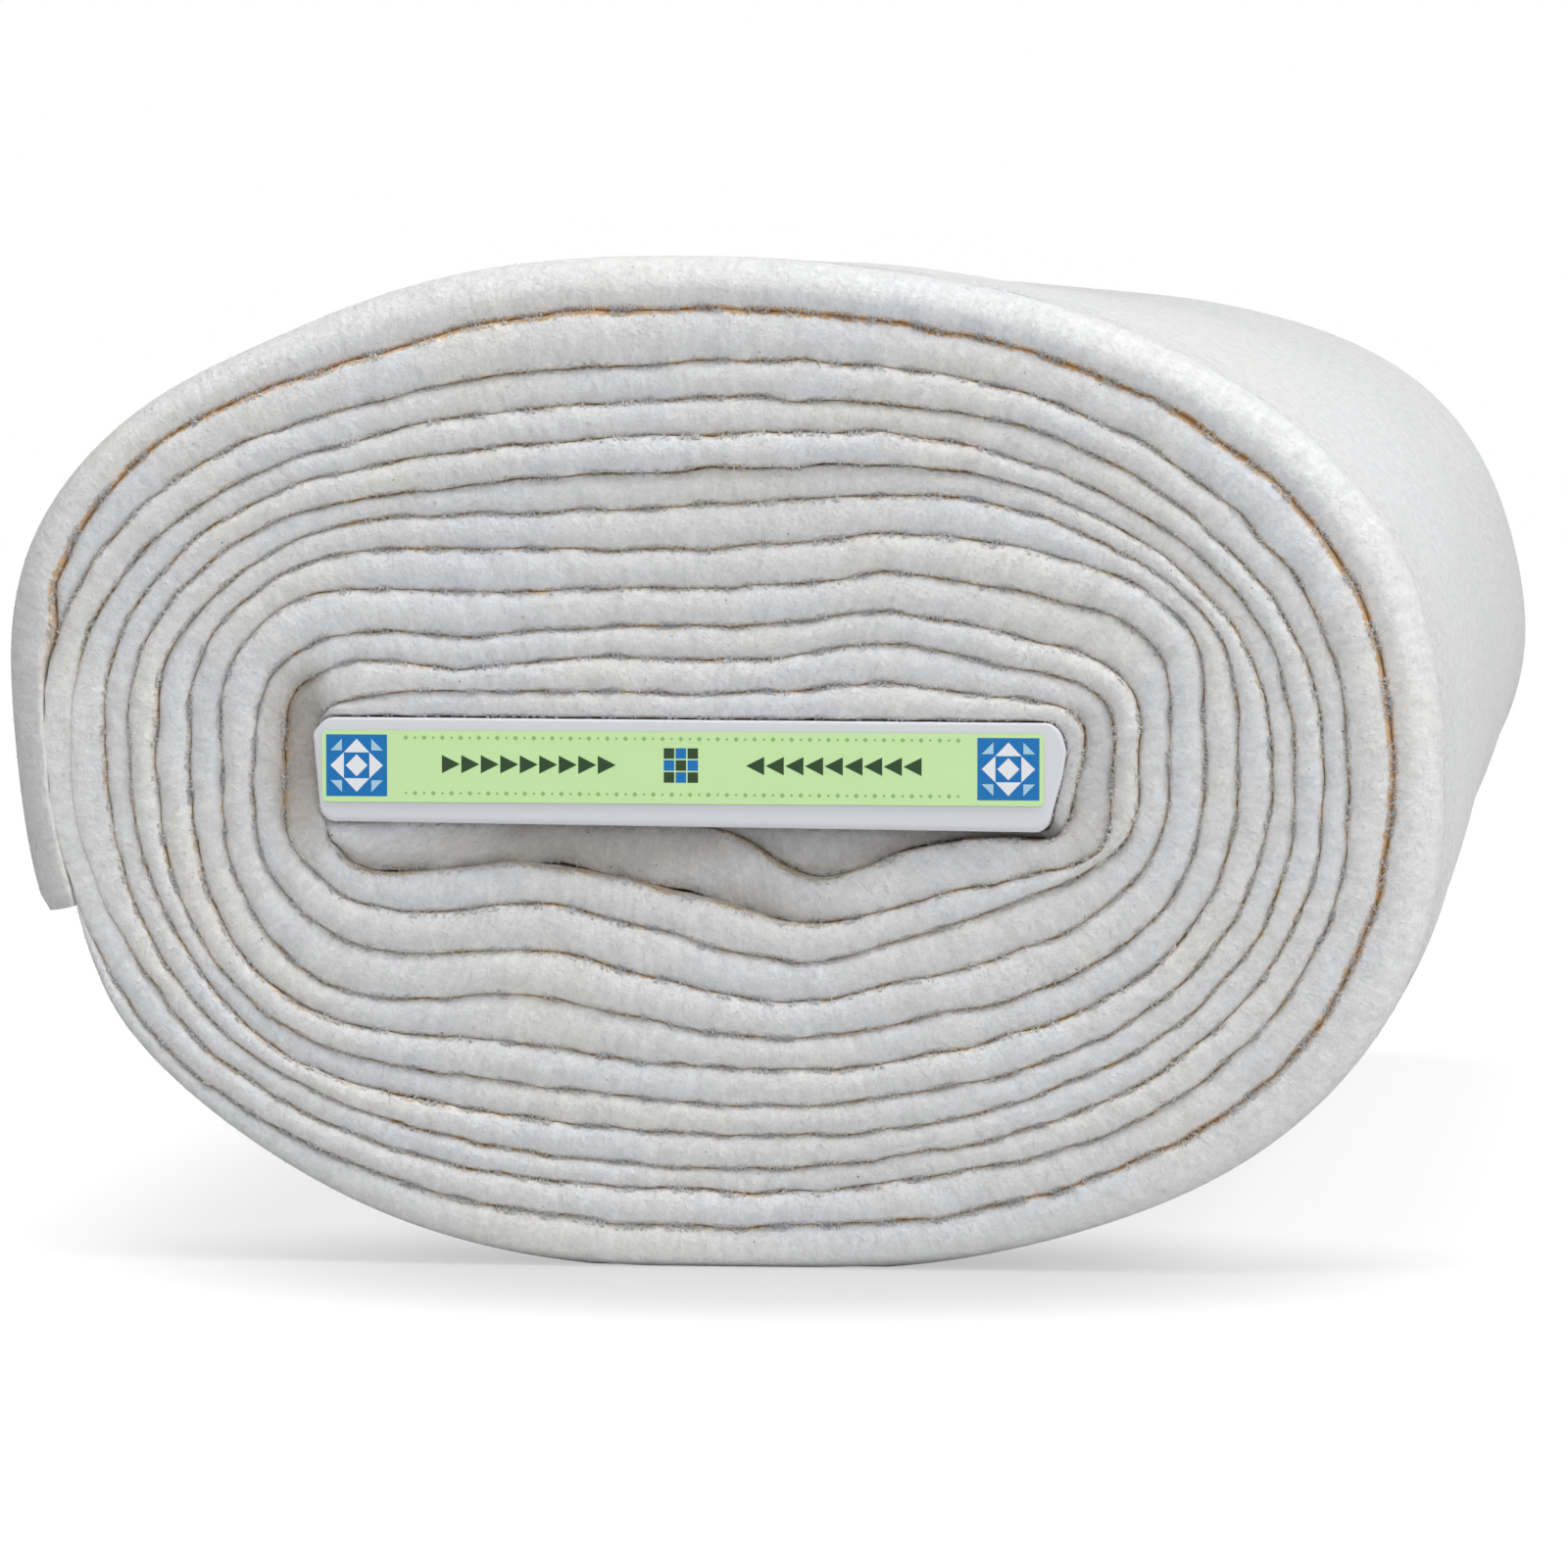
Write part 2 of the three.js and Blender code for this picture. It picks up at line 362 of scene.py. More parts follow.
def oval(level, direction):
    """X and Z of a squared oval: in each quarter its own half axes and squareness. The place is
    worked out on a unit squared circle and then stretched, and the left flank is lifted."""
    across, upward = np.sin(direction), np.cos(direction)
    right, top = across >= 0, upward >= 0
    power = np.where(
        top,
        np.where(right, level["up_right"], level["up_left"]),
        np.where(right, level["down_right"], level["down_left"]),
    )
    reach = (np.abs(across) ** power + np.abs(upward) ** power) ** (-1 / power)
    x = np.where(right, level["right"], level["left"]) * reach * across
    z = np.where(top, level["up"], level["down"]) * reach * upward
    return np.stack([x, z + np.where(right, 0, level["lift"] * (x / level["left"]) ** 2)], axis=-1)


def winding(turn):
    """X and Z of the winding, from the board's middle, in metres: the squared oval of the level at
    that turn, plus the waves. The last turns close in on the board's own outline, and the level
    runs on to the board's where the strip's inner end thins out."""
    taper = smooth(TAPER_START, TAPER_END, turn)
    depth = turn + np.maximum(CORE_TURN - turn, 0) * taper
    direction = np.radians(LOOSE_END_DIRECTION + 360 * turn)
    place = oval(level_values(depth), direction)
    rise = np.zeros_like(turn)
    for wave_x, wave_z, wide, tall, height in WAVES:
        across, upward = (place[..., 0] - wave_x) / wide, (place[..., 1] - wave_z) / tall
        rise += height * np.exp(-(across**2) - upward**2)
    place[..., 1] += np.clip((CORE_TURN - depth) / WAVE_FADE_TURNS, 0, 1) * rise
    innermost = oval(level_values(np.full_like(depth, CORE_TURN)), direction)
    hug = smooth(HUG_TURN, CORE_TURN, depth)[..., None]
    return (place + hug * (board_curve(unit(innermost)) - innermost)) * MM


# The winding's run: arc length from the loose end at closely spaced turns
RUN_TURNS = np.linspace(-0.02, CORE_TURN + 1, 24001)
RUN_PLACES = winding(np.maximum(RUN_TURNS, 0))
RUN_LENGTH = np.concatenate([[0], np.cumsum(np.linalg.norm(np.diff(RUN_PLACES, axis=0), axis=1))])


def length_at(turn):
    """Arc length along the winding at a turn."""
    return np.interp(turn, RUN_TURNS, RUN_LENGTH)


def turn_at(length):
    """The turn at an arc length along the winding."""
    return np.interp(length, RUN_LENGTH, RUN_TURNS)


def outward(turn):
    """Unit vector out of the winding at a turn: across the line between two near turns."""
    step = 0.0015
    along = winding(turn + step) - winding(turn - step)
    return unit(np.stack([-along[..., 1], along[..., 0]], axis=-1))


def band(turn, start, full, wane, stop):
    """Rises from 0 to 1 between start and full, and falls back between wane and stop."""
    return smooth(start, full, turn) * (1 - smooth(wane, stop, turn))


def wavering(places, fields):
    """The sum of some random fields, each given by its depth, wavelength and seed."""
    return sum(depth * ripple(places, wavelength, seed) for depth, wavelength, seed in fields)


def thickness(turn):
    """How thick the layer is that starts at a turn: the distance to the next turn in."""
    return np.linalg.norm(winding(turn) - winding(turn + 1), axis=-1)


def boundary(turn, y):
    """A face between two layers, X and Z in metres: the winding at a turn, wavering by a field
    that runs along it, so the two layers that share it waver together. The outside face
    undulates more softly and more deeply and has its swells, and a face gives way inwards where
    the layer inside it is squeezed."""
    turn = np.broadcast_to(turn, y.shape)
    places = np.stack([length_at(turn), y * WAVER_ALONG_Y], axis=-1)
    inner_share = smooth(*OUTER_FADE, turn)
    outer = wavering(places, OUTER_WAVERS) - OUTER_SINK
    depth = inner_share * wavering(places, WAVERS) + (1 - inner_share) * outer
    depth = depth * (1 - smooth(*CORE_FADE, turn))
    for middle, spread, at_front, at_back in SWELLS:
        height = at_front + (at_back - at_front) * smooth(FRONT_Y, BACK_Y, y)
        depth = depth + height * MM * np.exp(-(((turn - middle) / spread) ** 2))
    depth = depth - TIP_ROUND * (1 - smooth(-TIP_REACH, TIP_TURNS - TIP_REACH, turn)) ** 2
    squeeze = sum(band(turn, *limits) for limits in SQUEEZES)
    depth = depth - squeeze * (thickness(turn) - SQUEEZED)
    return winding(turn) + outward(turn) * depth[..., None]


def fold_setback(share, crown, rim, rim_power, depth_outside, depth_inside):
    """How far a fold's surface lies behind its crown at a share of the thickness: a mix of the
    square and a high power of the distance from the crown, so it is softly round and turns in
    close to the gap. On the rim's outer side it is a quarter oval of its own power instead."""
    lean = np.where(share < crown, (crown - share) / crown, (share - crown) / (1 - crown))
    turned_in = FOLD_ROUND * lean**2 + (1 - FOLD_ROUND) * lean**FOLD_POWER
    quarter = 1 - (1 - lean**rim_power).clip(0) ** (1 / rim_power)
    round_off = turned_in + (quarter - turned_in) * rim * (share < crown)
    return round_off * np.where(share < crown, depth_outside, depth_inside)


def soft_meeting(turn):
    """How softly layers meet at a turn, 0 to 1."""
    return sum(band(turn - first, *SOFT_MEETING) for first in SOFT_TURNS)


def gap_slack(turn):
    """How much more or less than usual a gap is open at a turn, from -1 to 1."""
    return np.clip(ripple(length_at(turn)[..., None], SLACK_WAVELENGTH, 33), -1, 1)


def end_inset(turn, seed):
    """How far the strip's end lies inside the solid's at a turn, in long random waves, and further
    where it is laid back."""
    ends = np.stack([length_at(turn), turn * END_TURN_STEP], axis=-1)
    laid_back = sum(back * band(turn, *limits) for *limits, back in LAID_BACK)
    return END_INSET + END_WANDER * (1 + ripple(ends, END_WAVELENGTH, seed)) + laid_back


def end_sizes(turn):
    """Where both ends of the strip's crowns lie in Y at a turn, the share of the thickness where
    the crown is, how far this is the rim and its power there, and the fold's depth outside and
    inside the crown."""
    thick = thickness(turn)
    inside = np.clip(thick * FOLD_SHARE, FOLD_LEAST, FOLD_MOST)
    inside = inside * (1 - SOFT_SHALLOWER * soft_meeting(turn))
    rim = np.clip(thick * RIM_SHARE, FOLD_LEAST, RIM_MOST)
    on_rim = 1 - smooth(*RIM_FADE, turn)
    loose = 1 - smooth(*LOOSE_FADE, turn)
    outside = inside + on_rim * (rim - inside) + loose * (LOOSE_FOLD - rim)
    inside = inside * (1 + SLACK * gap_slack(turn + 1))
    outside = outside * (1 + SLACK * (1 - on_rim) * gap_slack(turn))
    crown = CROWN + RIM_CROWN * on_rim + LOOSE_CROWN * loose
    power = RIM_POWER + loose * (LOOSE_POWER - RIM_POWER)
    front_y, back_y = FRONT_Y + end_inset(turn, 31), BACK_Y - end_inset(turn, 32)
    return front_y, back_y, crown, on_rim, power, outside, inside


def strip_places(turn, share, front):
    """Places on the strip: share of the thickness from its outer to its inner face, and front
    from 1 at the front fold to 0 at the back fold. Also gives how strongly painted crease shade
    lies on each next to the gap it is nearest to: none on the rim's outer face and little where
    layers meet softly."""
    turn = turn - (TIP_REACH + TIP_SLANT * share) * (1 - smooth(0, TIP_STRIP, turn))
    front_y, back_y, crown, rim, rim_power, outside, inside = end_sizes(turn)
    setback = fold_setback(share, crown, rim, rim_power, outside, inside)
    y = front * (front_y + setback) + (1 - front) * (back_y - setback)
    outer = boundary(turn, y) - outward(turn) * GAP / 2
    inner = boundary(turn + 1, y) + outward(turn + 1) * GAP / 2
    section = outer + (inner - outer) * share[..., None]
    places = np.stack([CORE_X + section[..., 0], y, np.maximum(CORE_Z + section[..., 1], 0)], axis=-1)
    # Painted crease shade: none on the rim's outer face, and fainter where layers meet softly
    on_rim = (1 - smooth(*RIM_SHADE_FADE, turn)) * (share < crown)
    return places, (1 - on_rim) * (1 - SOFT_FAINTER * soft_meeting(turn + (share > crown)))


def ring_table(side_points):
    """The ring round one layer: share of the thickness and weight of the front end, over the
    front fold, along the inner face, over the back fold and back along the outer face."""
    def fold(points):
        return (1 - np.cos(np.linspace(0, np.pi, points))) / 2
    inner = np.linspace(0, 1, SIDE_POINTS + 2)[1:-1]
    outer = np.linspace(0, 1, side_points + 2)[1:-1]
    back_fold = fold(BACK_POINTS)[::-1]
    share = np.concatenate([fold(FRONT_POINTS), np.ones(len(inner)), back_fold, np.zeros(len(outer))])
    front = np.concatenate([np.ones(FRONT_POINTS), 1 - inner, np.zeros(BACK_POINTS), outer])
    return share, front


def strip_rings(turns, side_points):
    """Rings round the layer at each turn: their places, and for each point how strongly its gap's
    painted crease shade lies on it, which gap that is, how far it is from it, how far along the
    strip it lies and how far across the thickness."""
    share, front = ring_table(side_points)
    turn, share = np.broadcast_arrays(turns[:, None], share[None, :])
    places, crease_shade = strip_places(turn, share, front[None, :])
    thick = thickness(turn)
    values = {
        "crease_shade": crease_shade,
        "gap": turn + (share > 0.5),
        "inset": np.minimum(share, 1 - share) * thick,
        "run": length_at(turn),
        "across": share * thick,
    }
    return places, values


def new_mesh(name, places, faces):
    """An object at the origin with this mesh, smooth shaded."""
    mesh = bpy.data.meshes.new(name)
    mesh.from_pydata(places.tolist(), [], [list(map(int, face)) for face in faces])
    mesh.polygons.foreach_set("use_smooth", np.ones(len(mesh.polygons), dtype=bool))
    mesh.update()
    piece = bpy.data.objects.new(name, mesh)
    bpy.context.scene.collection.objects.link(piece)
    return piece


def point_values(piece, name, values):
    """Stores one number for each vertex."""
    layer = piece.data.attributes.new(name, "FLOAT", "POINT")
    layer.data.foreach_set("value", np.asarray(values, dtype=np.float32).ravel())


def ring_faces(first, count, size):
    """Quads between each ring of a grid and the next, wrapping round the ring."""
    step = np.arange(count - 1)[:, None]
    corner = np.arange(size)[None, :]
    here = first + step * size + corner
    beside = first + step * size + (corner + 1) % size
    return np.stack([here, beside, beside + size, here + size], axis=-1).reshape(-1, 4)


def build_batting():
    """The whole strip as one closed skin: fine rings round the outermost turn, plainer rings
    inside the winding, one row of long faces where they meet, and a cap at both strip ends."""
    fine_count = int(np.ceil(length_at(FINE_TURN) / FINE_STEP)) + 1
    fine_turns = turn_at(np.linspace(length_at(0), length_at(FINE_TURN), fine_count))
    start, stop = length_at(FINE_TURN), length_at(TURNS)
    count = int(np.ceil((stop - start) / STEP)) + 1
    turns = turn_at(np.linspace(start, stop, count))[1:]
    fine_places, fine_values = strip_rings(fine_turns, FINE_SIDE_POINTS)
    plain_places, plain_values = strip_rings(turns, SIDE_POINTS)
    fine_size = fine_places.shape[1]
    size = plain_places.shape[1]
    places = np.concatenate([fine_places.reshape(-1, 3), plain_places.reshape(-1, 3)])
    first = fine_count * fine_size
    faces = ring_faces(0, fine_count, fine_size).tolist()
    faces += ring_faces(first, len(turns), size).tolist()
    shared = FRONT_POINTS + SIDE_POINTS + BACK_POINTS
    last_fine = first - fine_size
    for corner in range(shared - 1):
        here = last_fine + corner
        faces.append([here, here + 1, first + corner + 1, first + corner])
    fine_line = [last_fine + shared - 1 + k for k in range(FINE_SIDE_POINTS + 1)] + [last_fine]
    plain_line = [first + shared - 1 + k for k in range(SIDE_POINTS + 1)] + [first]
    stops = np.linspace(0, FINE_SIDE_POINTS + 1, SIDE_POINTS + 2).astype(int)
    for k in range(SIDE_POINTS + 1):
        faces.append(fine_line[stops[k]:stops[k + 1] + 1] + [plain_line[k + 1], plain_line[k]])
    faces.append(list(range(fine_size))[::-1])
    faces.append(list(range(len(places) - size, len(places))))
    piece = new_mesh("batting_strip", places, faces)
    for name, values in fine_values.items():
        point_values(piece, name, np.concatenate([values.ravel(), plain_values[name].ravel()]))
    return piece


def grains(name, places, pattern):
    """Many small closed bodies as one mesh: the corners of each, and the triangles of one."""
    count, corners = places.shape[:2]
    faces = (np.arange(count)[:, None, None] * corners + np.array(pattern)).reshape(-1, 3)
    return new_mesh(name, places.reshape(-1, 3), faces)


def spikes(name, roots, headings, lengths, radii, seed):
    """Loose fibres as slivers: each has a small three-sided root square to its heading and runs to
    a point a length away, no lower than the floor."""
    draw = np.random.default_rng(seed)
    headings = unit(headings)
    aside = unit(np.cross(headings, draw.normal(size=headings.shape)))
    other = np.cross(headings, aside)
    angle = np.arange(3) * 2 * np.pi / 3
    rim = np.cos(angle)[:, None] * aside[:, None, :] + np.sin(angle)[:, None] * other[:, None, :]
    base = roots[:, None, :] + rim * radii[:, None, None]
    tip = roots + headings * lengths[:, None]
    tip[:, 2] = np.maximum(tip[:, 2], 0)
    places = np.concatenate([base, tip[:, None, :]], axis=1)
    return grains(name, places, [(0, 2, 1), (0, 1, 3), (1, 2, 3), (2, 0, 3)])


def draw_runs(draw, turns, count):
    """Random arc lengths, spread evenly over a stretch of the strip given in turns."""
    return draw.uniform(length_at(turns[0]), length_at(turns[1]), count)


def layer_ways(turn):
    """Unit vectors out of the layer and along it, at each turn."""
    flat, level = outward(turn), np.zeros(len(turn))
    out = np.stack([flat[:, 0], level, flat[:, 1]], axis=-1)
    along = np.stack([flat[:, 1], level, -flat[:, 0]], axis=-1)
    return out, along


def face_roots(count, front, seed):
    """Random places over the crowns of one end's folds: the draw, which goes on from here, the
    turn of each and its place."""
    draw = np.random.default_rng(seed)
    turn = turn_at(draw_runs(draw, FIBRE_TURNS, count))
    places, _ = strip_places(turn, draw.uniform(*FACE_SHARES, count), np.full(count, front))
    return draw, turn, places


def build_tufts(name, front, count, seed):
    """Tufts that lean over the gaps between layers, some fibres to each: all of a tuft stand
    close together on one face of the layer, and lean about the same way. Twice the number is
    drawn and the more crowded half is kept, so they are crowded in some stretches of a gap, few
    in others, and fewest where layers meet softly."""
    away = np.array([0, -1.0 if front else 1.0, 0])
    draw = np.random.default_rng(seed)
    run = draw_runs(draw, FIBRE_TURNS, count * 2)
    outer = (draw.random(count * 2) < 0.5) & (run > length_at(1.0))
    gap_run = length_at(turn_at(run) + ~outer)
    crowd = ripple(gap_run[:, None], CLUMP_WAVELENGTH, seed + 2)
    crowd = crowd + draw.normal(0, CLUMP_SCATTER, count * 2)
    kept = np.argsort(crowd - CLUMP_THINNING * soft_meeting(turn_at(gap_run)))[count:]
    lean = draw.normal(0, TUFT_LEAN, (count, 1))
    full = draw.uniform(*TUFT_FULLNESS, count)
    tufts = (run[kept], outer[kept], lean, full)
    run, outer, lean, full = (np.repeat(values, TUFT_FIBRES, axis=0) for values in tufts)
    size = count * TUFT_FIBRES
    turn = turn_at(run + draw.normal(0, TUFT_SPREAD, size))
    share = draw.uniform(*TUFT_SHARES, size)
    root, _ = strip_places(turn, np.where(outer, share, 1 - share), np.full(size, front))
    out, along = layer_ways(turn)
    heading = (
        np.where(outer, 1, -1)[:, None] * out * draw.uniform(*TUFT_ACROSS, (size, 1))
        + away * draw.uniform(*TUFT_OUT, (size, 1))
        + along * (lean + draw.normal(0, TUFT_FIBRE_LEAN, (size, 1)))
    )
    length = full * draw.uniform(*TUFT_LENGTHS, size) * MM
    radius = TUFT_FIBRE_RADIUS * draw.uniform(*TUFT_THICKNESS, size)
    return spikes(name, root, heading, length, radius, seed + 1)


def build_fibres(name, front, face_count, rim_count, seed):
    """Single fibres at one end: ones that lie almost flat on the folds, and ones on the rim's
    outer face near the end."""
    away = np.array([0, -1.0 if front else 1.0, 0])
    draw, turn, root = face_roots(face_count, front, seed)
    out, along = layer_ways(turn)
    turned = draw.uniform(0, 2 * np.pi, (face_count, 1))
    rise = draw.uniform(*FACE_OUT, (face_count, 1))
    heading = -out * np.cos(turned) + along * np.sin(turned) + away * rise
    roots, headings, lengths = [root], [heading], [draw.uniform(*FACE_LENGTHS, face_count) * MM]
    if rim_count:
        turn = turn_at(draw_runs(draw, RIM_FIBRE_TURNS, rim_count))
        y = FRONT_Y + RIM_FIBRE_START + RIM_FIBRE_LENGTH * draw.random(rim_count) ** 2
        out, along = layer_ways(turn)
        section = boundary(turn, y)
        z = np.maximum(CORE_Z + section[:, 1], RIM_FIBRE_LOWEST)
        roots.append(np.stack([CORE_X + section[:, 0], y, z], axis=-1))
        turned = draw.uniform(0, 2 * np.pi, (rim_count, 1))
        rise = draw.uniform(*RIM_OUT, (rim_count, 1))
        headings.append(along * np.cos(turned) + away * np.sin(turned) + out * rise)
        lengths.append(draw.uniform(*RIM_LENGTHS, rim_count) * MM)
    radii = np.repeat([FACE_FIBRE_RADIUS, RIM_FIBRE_RADIUS], [face_count, rim_count])
    radii = radii * draw.uniform(*SINGLE_THICKNESS, len(radii))
    return spikes(name, *map(np.concatenate, (roots, headings, lengths)), radii, seed + 3)


def build_seed_specks(seed):
    """Bits of seed husk caught in the batting: small flattened six-cornered grains, half sunk in
    the folds, each squashed its own way."""
    draw, _, root = face_roots(SEED_SPECKS, 1.0, seed)
    corner = np.array([(1, 0, 0), (-1, 0, 0), (0, 1, 0), (0, -1, 0), (0, 0, 1), (0, 0, -1)])
    size = draw.uniform(*SPECK_SIZES, (SEED_SPECKS, 1, 1)) * MM
    places = root[:, None, :] + corner * size * draw.uniform(*SPECK_STRETCH, (SEED_SPECKS, 6, 1))
    above = [(0, 2, 4), (2, 1, 4), (1, 3, 4), (3, 0, 4)]
    below = [(2, 0, 5), (1, 2, 5), (3, 1, 5), (0, 3, 5)]
    return grains("seed_specks", places, above + below)


def card_outline():
    """The board's outline as evenly spaced points, softened by taking the mean of each point and
    its two neighbours as often as the rounding says, with its outward normals."""
    corners = np.concatenate([BOARD_OUTLINE, BOARD_OUTLINE[:1]]) * MM
    run = np.concatenate([[0], np.cumsum(np.linalg.norm(np.diff(corners, axis=0), axis=1))])
    count = int(run[-1] / CARD_STEP)
    where = np.arange(count) * run[-1] / count
    line = np.stack([np.interp(where, run, corners[:, k]) for k in (0, 1)], axis=-1)
    for _ in range(CARD_ROUNDING):
        line = (np.roll(line, 1, axis=0) + line + np.roll(line, -1, axis=0)) / 3
    along = np.roll(line, -1, axis=0) - np.roll(line, 1, axis=0)
    return line, unit(np.stack([-along[:, 1], along[:, 0]], axis=-1))


def build_board():
    """The board: its outline carried from end to end, its end edges rolled over by a quarter
    round, broader below than above, with a narrow flat margin inside each flat end."""
    line, normal = card_outline()
    roll = CARD_EDGE_TOP + (CARD_EDGE_BOTTOM - CARD_EDGE_TOP) * smooth(*CARD_EDGE_FADE, -normal[:, 1])
    edge = [(roll + CARD_MARGIN, 0 * roll)]
    for angle in np.linspace(np.pi / 2, 0, CARD_EDGE_RINGS):
        edge.append((roll * (1 - np.cos(angle)), roll * (1 - np.sin(angle))))
    rings = []
    for end, inward, steps in ((BOARD_LOW[1], 1, edge), (BOARD_HIGH[1], -1, edge[::-1])):
        for shrink, setback in steps:
            flat = line - normal * shrink[:, None]
            y = end + inward * setback
            rings.append(np.stack([CORE_X + flat[:, 0], y, CORE_Z + flat[:, 1]], axis=-1))
    rings = np.array(rings)
    count, size = rings.shape[:2]
    faces = ring_faces(0, count, size)[:, ::-1].tolist()
    faces.append(list(range(size)))
    faces.append(list(range((count - 1) * size, count * size))[::-1])
    return new_mesh("board_card", rings.reshape(-1, 3), faces)


def label_shapes():
    """The label's print, each shape a ring of corners in millimetres from the label's middle with
    the ink it takes: a pieced star block at both ends, and rows of flying geese, small diamonds
    and nine-patch squares between them."""
    shapes = []

    def block(x, z, size, ink):
        shapes.append((np.array([(-1, -1), (1, -1), (1, 1), (-1, 1)]) * size / 2 + (x, z), ink))

    def diamond(x, z, size, ink):
        shapes.append((np.array([(0, -1), (1, 0), (0, 1), (-1, 0)]) * size / 2 + (x, z), ink))

    def star(x, z, size):
        block(x, z, size, "blue")
        inner, reach = size * STAR_INNER, size * STAR_REACH
        start = inner * KITE_START
        for turn in range(4):
            angle = turn * np.pi / 2
            way = np.array([(np.cos(angle), np.sin(angle)), (-np.sin(angle), np.cos(angle))])
            point = np.array([(inner, -inner), (reach, 0), (inner, inner)])
            kite = np.array([(start, start), (reach, start), (start, reach)])
            shapes.append((point @ way + (x, z), "white"))
            shapes.append((kite @ way + (x, z), "pale"))
        diamond(x, z, inner * STAR_HEART, "white")

    star(-STAR_X, STAR_Z, STAR_SIZE)
    star(STAR_X, STAR_Z, STAR_SIZE)
    for way in (1, -1):
        goose = np.array([(-way, -1), (way, 0), (-way, 1)])[::way] * GOOSE_SIZE
        for k in range(GEESE):
            shapes.append((goose + (way * (k * GEESE_STEP - GEESE_START), MIDDLE_ROW_Z), "dark"))
    for column in (-1, 0, 1):
        for row in (-1, 0, 1):
            ink = "dark" if (column + row) % 2 == 0 else "blue"
            block(column * PATCH_STEP, MIDDLE_ROW_Z + row * PATCH_STEP, PATCH_SIZE, ink)
    for k in range(DIAMONDS):
        for z, sizes in DIAMOND_ROWS:
            diamond(k * DIAMOND_STEP - DIAMOND_START, z, sizes[k % 2], "deep")
    return shapes


def build_label_print():
    """The print as one mesh: each shape becomes a closed prism, very thin, that stands out of
    the label by the ink's thickness and sinks as far into it."""
    middle_x = (LABEL_LOW[0] + LABEL_HIGH[0]) / 2
    middle_z = (LABEL_LOW[2] + LABEL_HIGH[2]) / 2
    places, faces, inks = [], [], []
    for shape, ink in label_shapes():
        first, size = len(places), len(shape)
        for y in (LABEL_LOW[1] - INK * (2 if ink in ("white", "pale") else 1), LABEL_LOW[1] + INK):
            places += [(middle_x + x * MM, y, middle_z + z * MM) for x, z in shape]
        ring = list(range(first, first + size))
        faces.append(ring)
        faces.append([corner + size for corner in ring[::-1]])
        for k in range(size):
            after = (k + 1) % size
            faces.append([ring[after], ring[k], ring[k] + size, ring[after] + size])
        inks += [ink] * (size + 2)
    piece = new_mesh("label_print", np.array(places), faces)
    piece.data.polygons.foreach_set("use_smooth", np.zeros(len(faces), dtype=bool))
    piece.data.polygons.foreach_set("material_index", [list(INKS).index(ink) for ink in inks])
    return piece


def feed(tree, socket, source):
    """Gives an input its source: the output of another node, or a number, vector or colour."""
    if isinstance(source, bpy.types.NodeSocket):
        tree.links.new(source, socket)
    else:
        socket.default_value = source


def put_node(tree, kind, sources=None, **settings):
    """A new node in a tree, with its settings and the sources of its inputs."""
    node = tree.nodes.new(kind)
    for name, value in settings.items():
        setattr(node, name, value)
    for name, source in (sources or {}).items():
        feed(tree, node.inputs[name], source)
    return node


def put_math(tree, operation, *sources):
    """A math node; returns its output."""
    return put_node(tree, "ShaderNodeMath", dict(enumerate(sources)), operation=operation).outputs[0]


def put_scale(tree, vector, factor):
    """A vector or a colour times a number; returns its output."""
    sources = {0: vector, "Scale": factor}
    return put_node(tree, "ShaderNodeVectorMath", sources, operation="SCALE").outputs[0]


def put_range(tree, value, low, high, to_low=0.0, to_high=1.0, soft=False):
    """A value carried from one range to another and kept inside it, evenly or with soft ends."""
    sources = {"Value": value, "From Min": low, "From Max": high, "To Min": to_low, "To Max": to_high}
    kind = "SMOOTHSTEP" if soft else "LINEAR"
    return put_node(tree, "ShaderNodeMapRange", sources, interpolation_type=kind).outputs["Result"]


def put_noise(tree, vector, scale, detail, roughness=0.5, distortion=0.0):
    """A noise texture on a vector; returns its value from 0 to 1."""
    sources = {
        "Vector": vector,
        "Scale": scale,
        "Detail": detail,
        "Roughness": roughness,
        "Distortion": distortion,
    }
    return put_node(tree, "ShaderNodeTexNoise", sources).outputs["Fac"]


def put_mix(tree, share, first, second, blend="MIX"):
    """A colour mix; returns its colour."""
    settings = {"data_type": "RGBA", "blend_type": blend, "clamp_factor": True}
    return put_node(tree, "ShaderNodeMix", {0: share, 6: first, 7: second}, **settings).outputs[2]


def put_place(tree):
    """The place on the object, in metres."""
    return put_node(tree, "ShaderNodeTexCoord").outputs["Object"]


def put_oval(tree, middle, reach, near, far, at_near, at_far):
    """A value that changes softly with the distance from a middle, counted in the reach on each
    axis: one value nearer than near, another past far. An axis without a reach isn't counted."""
    scale = [1 / size if size else 0 for size in reach]
    location = [-start * share for start, share in zip(middle, scale)]
    sources = {"Vector": put_place(tree), "Location": location, "Scale": scale}
    moved = put_node(tree, "ShaderNodeMapping", sources).outputs["Vector"]
    distance = put_node(tree, "ShaderNodeVectorMath", {0: moved}, operation="LENGTH")
    return put_range(tree, distance.outputs["Value"], far, near, at_far, at_near, soft=True)


def put_seen(tree, unseen, seen, output):
    """One shader for what the camera sees, and another for the light on other things."""
    path = put_node(tree, "ShaderNodeLightPath").outputs["Is Camera Ray"]
    mix = put_node(tree, "ShaderNodeMixShader", {0: path, 1: unseen, 2: seen})
    tree.links.new(mix.outputs[0], tree.nodes[output].inputs["Surface"])


def put_bump(tree, shader, height, strength, distance):
    """A bump of this height on the shader's normal."""
    bump = put_node(tree, "ShaderNodeBump", {"Height": height, "Strength": strength, "Distance": distance})
    tree.links.new(bump.outputs["Normal"], shader.inputs["Normal"])


